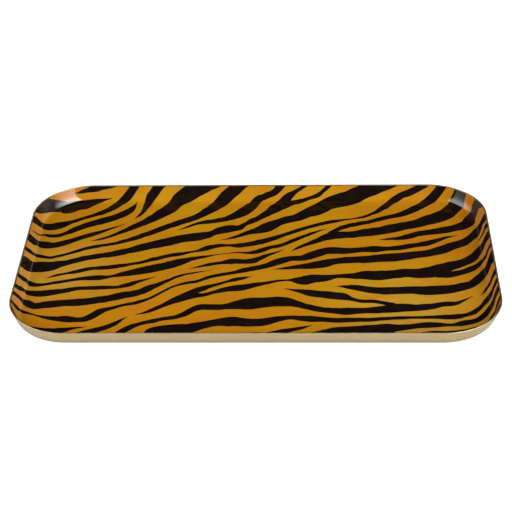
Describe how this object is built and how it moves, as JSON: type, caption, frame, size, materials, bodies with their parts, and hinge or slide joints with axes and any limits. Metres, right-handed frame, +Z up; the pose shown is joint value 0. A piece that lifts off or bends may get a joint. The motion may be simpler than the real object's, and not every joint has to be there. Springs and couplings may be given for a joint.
{
  "type": "serving tray",
  "caption": "Low rounded-rectangle metal serving tray with a tiger-stripe printed liner, a gold lacquered outside and small foot pads.",
  "frame": {"origin": "middle of the footprint, on the plane the foot pads stand on", "axes": "+X along the long side, +Y towards the back, +Z up out of the tray"},
  "size_m": [0.4, 0.228, 0.0163],
  "materials": {
    "gold_lacquer": "satin pale gold lacquer on steel",
    "striped_print": "gloss, black tiger stripes on an amber ground",
    "pad_rubber": "matte black"
  },
  "bodies": {
    "root": {"drawn_pan": "gold_lacquer", "printed_liner": "striped_print", "foot_pad_front_left": "pad_rubber", "foot_pad_front_right": "pad_rubber", "foot_pad_back_left": "pad_rubber", "foot_pad_back_right": "pad_rubber"}
  },
  "joints": []
}
